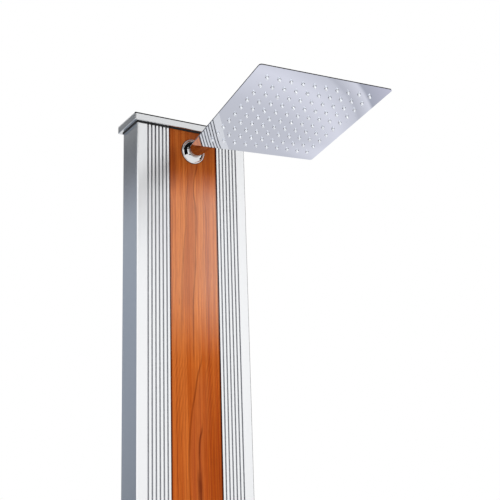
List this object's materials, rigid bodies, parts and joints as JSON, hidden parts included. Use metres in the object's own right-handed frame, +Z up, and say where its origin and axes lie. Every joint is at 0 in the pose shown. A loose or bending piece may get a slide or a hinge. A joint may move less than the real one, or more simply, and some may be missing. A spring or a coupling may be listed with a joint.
{
  "type": "solar shower",
  "caption": "Free-standing solar shower: slim ribbed aluminium tank column with a wooden front panel, lever mixer, chromed arm and thin square rain head on a ball joint.",
  "frame": {"origin": "on the floor, at the middle of the base plate's underside, below the column's middle", "axes": "+Z up along the column, -Y out of the front where the arm points, +X to the user's right"},
  "size_m": [0.3, 0.5283, 2.2],
  "materials": {
    "anodised_aluminium": "satin anodised extrusion",
    "stainless_steel": "brushed",
    "front_wood": "oiled, straight grain",
    "foam_tape": "closed cell foam",
    "black_rubber": "matte moulded rubber",
    "black_polymer": "moulded",
    "white_pipe": "smooth extruded pipe",
    "raw_brass": "machined",
    "chrome": "bright plated",
    "mirror_steel": "mirror polished sheet",
    "pale_silicone": "soft silicone",
    "white_nylon": "moulded"
  },
  "bodies": {
    "column": {"column_profile": "anodised_aluminium", "top_cap": "anodised_aluminium", "base_plate": "stainless_steel", "base_socket": "stainless_steel", "socket_screws": "stainless_steel", "cap_screws": "stainless_steel", "bulkhead_screws": "stainless_steel", "wood_panel": "front_wood", "panel_tape": "foam_tape", "cap_gasket": "black_rubber", "bottom_seal": "black_rubber", "top_seal": "black_rubber", "drain_seal": "black_rubber", "inlet_gasket": "black_rubber", "mixer_gasket": "black_rubber", "arm_gasket": "black_rubber", "stud_washer": "black_rubber", "bottom_bulkhead": "black_polymer", "top_bulkhead": "black_polymer", "bottom_gland": "black_polymer", "top_gland": "black_polymer", "check_valve": "black_polymer", "feed_tee": "black_polymer", "cartridge": "black_polymer", "cold_pipe": "white_pipe", "hot_pipe": "white_pipe", "riser_pipe": "white_pipe", "drain_bush": "raw_brass", "drain_plug": "raw_brass", "hose_connector": "raw_brass", "inlet_nut": "raw_brass", "inlet_elbow": "raw_brass", "hot_elbow": "raw_brass", "mixer_body": "raw_brass", "mixer_nut": "raw_brass", "cartridge_nut": "raw_brass", "arm_fitting": "raw_brass", "arm_nut": "raw_brass", "arm_flange": "chrome", "arm_tube": "chrome", "arm_end_block": "chrome", "ball_stud": "chrome", "mixer_plate": "chrome", "mixer_bonnet": "chrome"},
    "mixer_turret": {"cartridge_turret": "raw_brass", "pivot_pin": "stainless_steel"},
    "mixer_handle": {"lever_spindle": "raw_brass", "mixer_lever": "chrome", "handle_screw": "stainless_steel", "index_button": "chrome"},
    "head_tilt_ring": {"lower_slip_ring": "white_nylon"},
    "head_side_ring": {"upper_slip_ring": "white_nylon"},
    "rain_head": {"socket_nut": "chrome", "head_hub": "chrome", "head_face_plate": "mirror_steel", "nozzle_mat": "pale_silicone", "head_back_shell": "mirror_steel"}
  },
  "joints": [
    {"name": "mixer_temperature", "type": "hinge", "parent": "column", "child": "mixer_turret", "pos_m": [0, -0.0482, 1.05], "axis": [0, -1, 0], "range_deg": [-45, 45]},
    {"name": "mixer_flow", "type": "hinge", "parent": "mixer_turret", "child": "mixer_handle", "pos_m": [0, -0.0482, 1.05], "axis": [-1, 0, 0], "range_deg": [0, 24]},
    {"name": "head_tilt", "type": "hinge", "parent": "column", "child": "head_tilt_ring", "pos_m": [0, -0.3036, 2.127], "axis": [1, 0, 0], "range_deg": [-6, 19]},
    {"name": "head_side_tilt", "type": "hinge", "parent": "head_tilt_ring", "child": "head_side_ring", "pos_m": [0, -0.3036, 2.127], "axis": [0, 0.9873, -0.159], "range_deg": [-8.5, 11.5]},
    {"name": "head_turn", "type": "hinge", "parent": "head_side_ring", "child": "rain_head", "pos_m": [0, -0.3036, 2.127], "axis": [-0.0244, 0.159, 0.987], "continuous": true}
  ]
}
